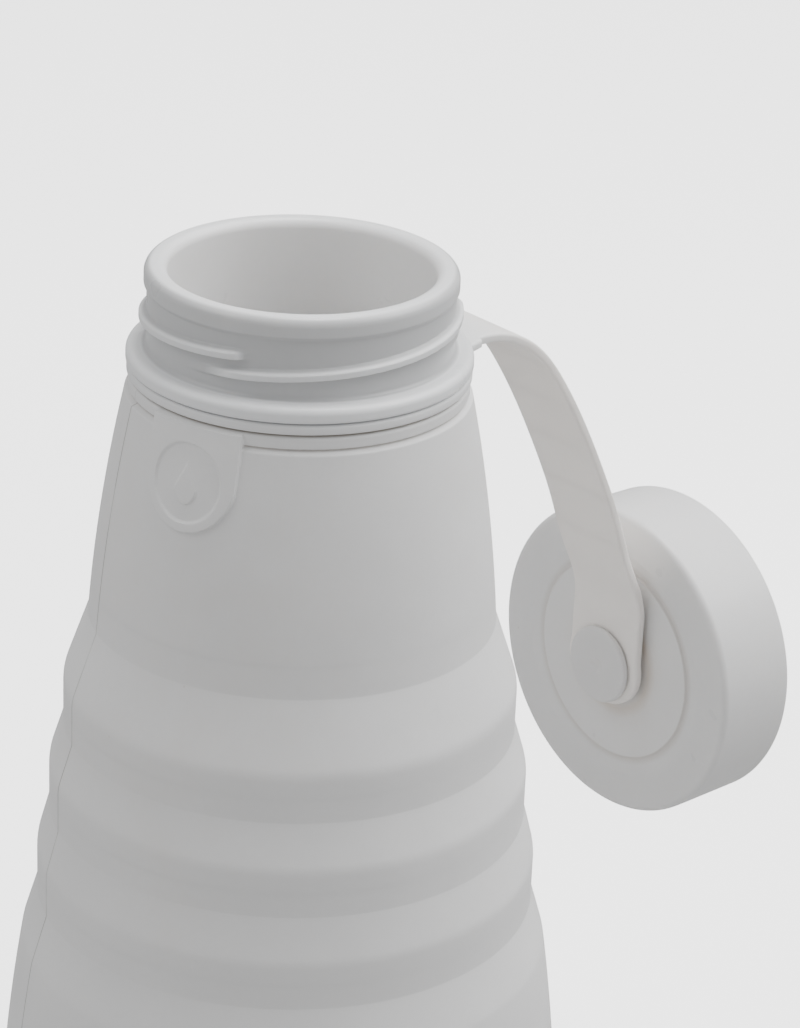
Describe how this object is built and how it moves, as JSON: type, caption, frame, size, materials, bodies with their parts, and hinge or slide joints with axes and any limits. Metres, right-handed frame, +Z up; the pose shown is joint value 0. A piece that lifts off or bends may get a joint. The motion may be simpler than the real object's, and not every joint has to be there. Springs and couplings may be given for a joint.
{
  "type": "folding water bottle",
  "caption": "Folding silicone water bottle: a body that stacks down in ringed folds, a rigid threaded neck, and a screw cap that hangs on a swivelling strap.",
  "frame": {"origin": "centre of the underside, on the bottle's axis", "axes": "+Z up the bottle's axis to the rim, +X towards the hanging cap, +Y completes the right-handed frame"},
  "size_m": [0.1313, 0.0916, 0.172],
  "materials": {
    "body_silicone": "matt moulded silicone, pale grey",
    "strap_silicone": "matt moulded silicone, pale grey",
    "neck_plastic": "satin moulded plastic, pale grey",
    "cap_plastic": "satin moulded plastic, pale grey",
    "gasket": "soft white silicone",
    "stud_plastic": "satin moulded plastic, pale grey"
  },
  "bodies": {
    "base": {"base_cup": "body_silicone", "fold_base": "body_silicone"},
    "lower_ring": {"ring_lower": "body_silicone", "fold_lower": "body_silicone"},
    "middle_ring": {"ring_middle": "body_silicone", "fold_middle": "body_silicone"},
    "upper_ring": {"ring_upper": "body_silicone", "fold_upper": "body_silicone"},
    "neck": {"shoulder": "body_silicone", "neck_collar": "neck_plastic"},
    "swivel_ring": {"strap_ring": "strap_silicone"},
    "strap_1": {"strap_segment_1": "strap_silicone"},
    "strap_2": {"strap_segment_2": "strap_silicone"},
    "strap_3": {"strap_segment_3": "strap_silicone"},
    "strap_4": {"strap_segment_4": "strap_silicone"},
    "strap_5": {"strap_segment_5": "strap_silicone"},
    "strap_6": {"strap_segment_6": "strap_silicone"},
    "strap_7": {"strap_segment_7": "strap_silicone"},
    "strap_tip": {"strap_end": "strap_silicone"},
    "cap": {"cap_shell": "cap_plastic", "cap_gasket": "gasket", "cap_stud": "stud_plastic"}
  },
  "joints": [
    {"name": "base_fold", "type": "slide", "parent": "base", "child": "lower_ring", "axis": [0, 0, -1], "range_m": [0, 0.014], "deforming": ["fold_base"]},
    {"name": "lower_fold", "type": "slide", "parent": "lower_ring", "child": "middle_ring", "axis": [0, 0, -1], "range_m": [0, 0.0126], "deforming": ["fold_lower"]},
    {"name": "middle_fold", "type": "slide", "parent": "middle_ring", "child": "upper_ring", "axis": [0, 0, -1], "range_m": [0, 0.0126], "deforming": ["fold_middle"]},
    {"name": "upper_fold", "type": "slide", "parent": "upper_ring", "child": "neck", "axis": [0, 0, -1], "range_m": [0, 0.0196], "deforming": ["fold_upper"]},
    {"name": "ring_swivel", "type": "hinge", "parent": "neck", "child": "swivel_ring", "pos_m": [0, 0, 0.15585], "axis": [0, 0, 1], "continuous": true},
    {"name": "strap_bend_1", "type": "hinge", "parent": "swivel_ring", "child": "strap_1", "pos_m": [0.031, 0, 0.15585], "axis": [0, -1, 0], "range_deg": [0, 41.69]},
    {"name": "strap_bend_2", "type": "hinge", "parent": "strap_1", "child": "strap_2", "pos_m": [0.04062, 0, 0.15216], "axis": [0, -1, 0], "range_deg": [0, 59.04]},
    {"name": "strap_bend_3", "type": "hinge", "parent": "strap_2", "child": "strap_3", "pos_m": [0.04737, 0, 0.14439], "axis": [0, -1, 0], "range_deg": [0, 47.49]},
    {"name": "strap_bend_4", "type": "hinge", "parent": "strap_3", "child": "strap_4", "pos_m": [0.05268, 0, 0.13556], "axis": [0, -1, 0], "range_deg": [0, 41.03]},
    {"name": "strap_bend_5", "type": "hinge", "parent": "strap_4", "child": "strap_5", "pos_m": [0.05735, 0, 0.12638], "axis": [0, -1, 0], "range_deg": [0, 32.81]},
    {"name": "strap_bend_6", "type": "hinge", "parent": "strap_5", "child": "strap_6", "pos_m": [0.06154, 0, 0.11697], "axis": [0, -1, 0], "range_deg": [0, 22.31]},
    {"name": "strap_bend_7", "type": "hinge", "parent": "strap_6", "child": "strap_7", "pos_m": [0.06524, 0, 0.10735], "axis": [0, -1, 0], "range_deg": [0, 9.06]},
    {"name": "strap_bend_8", "type": "hinge", "parent": "strap_7", "child": "strap_tip", "pos_m": [0.06876, 0, 0.09767], "axis": [0, -1, 0], "range_deg": [0, 16.89]},
    {"name": "cap_spin", "type": "hinge", "parent": "strap_tip", "child": "cap", "pos_m": [0.06876, 0, 0.0865], "axis": [1, 0, 0], "continuous": true}
  ],
  "couplings": [
    {"joint": "lower_fold", "follows": "base_fold", "ratio": 0.9},
    {"joint": "middle_fold", "follows": "base_fold", "ratio": 0.9},
    {"joint": "upper_fold", "follows": "base_fold", "ratio": 1.4},
    {"joint": "strap_bend_2", "follows": "strap_bend_1", "ratio": 1.415},
    {"joint": "strap_bend_3", "follows": "strap_bend_1", "ratio": 1.138},
    {"joint": "strap_bend_4", "follows": "strap_bend_1", "ratio": 0.983},
    {"joint": "strap_bend_6", "follows": "strap_bend_5", "ratio": 0.6785},
    {"joint": "strap_bend_7", "follows": "strap_bend_5", "ratio": 0.2745},
    {"joint": "strap_bend_8", "follows": "strap_bend_5", "ratio": 0.5133}
  ]
}
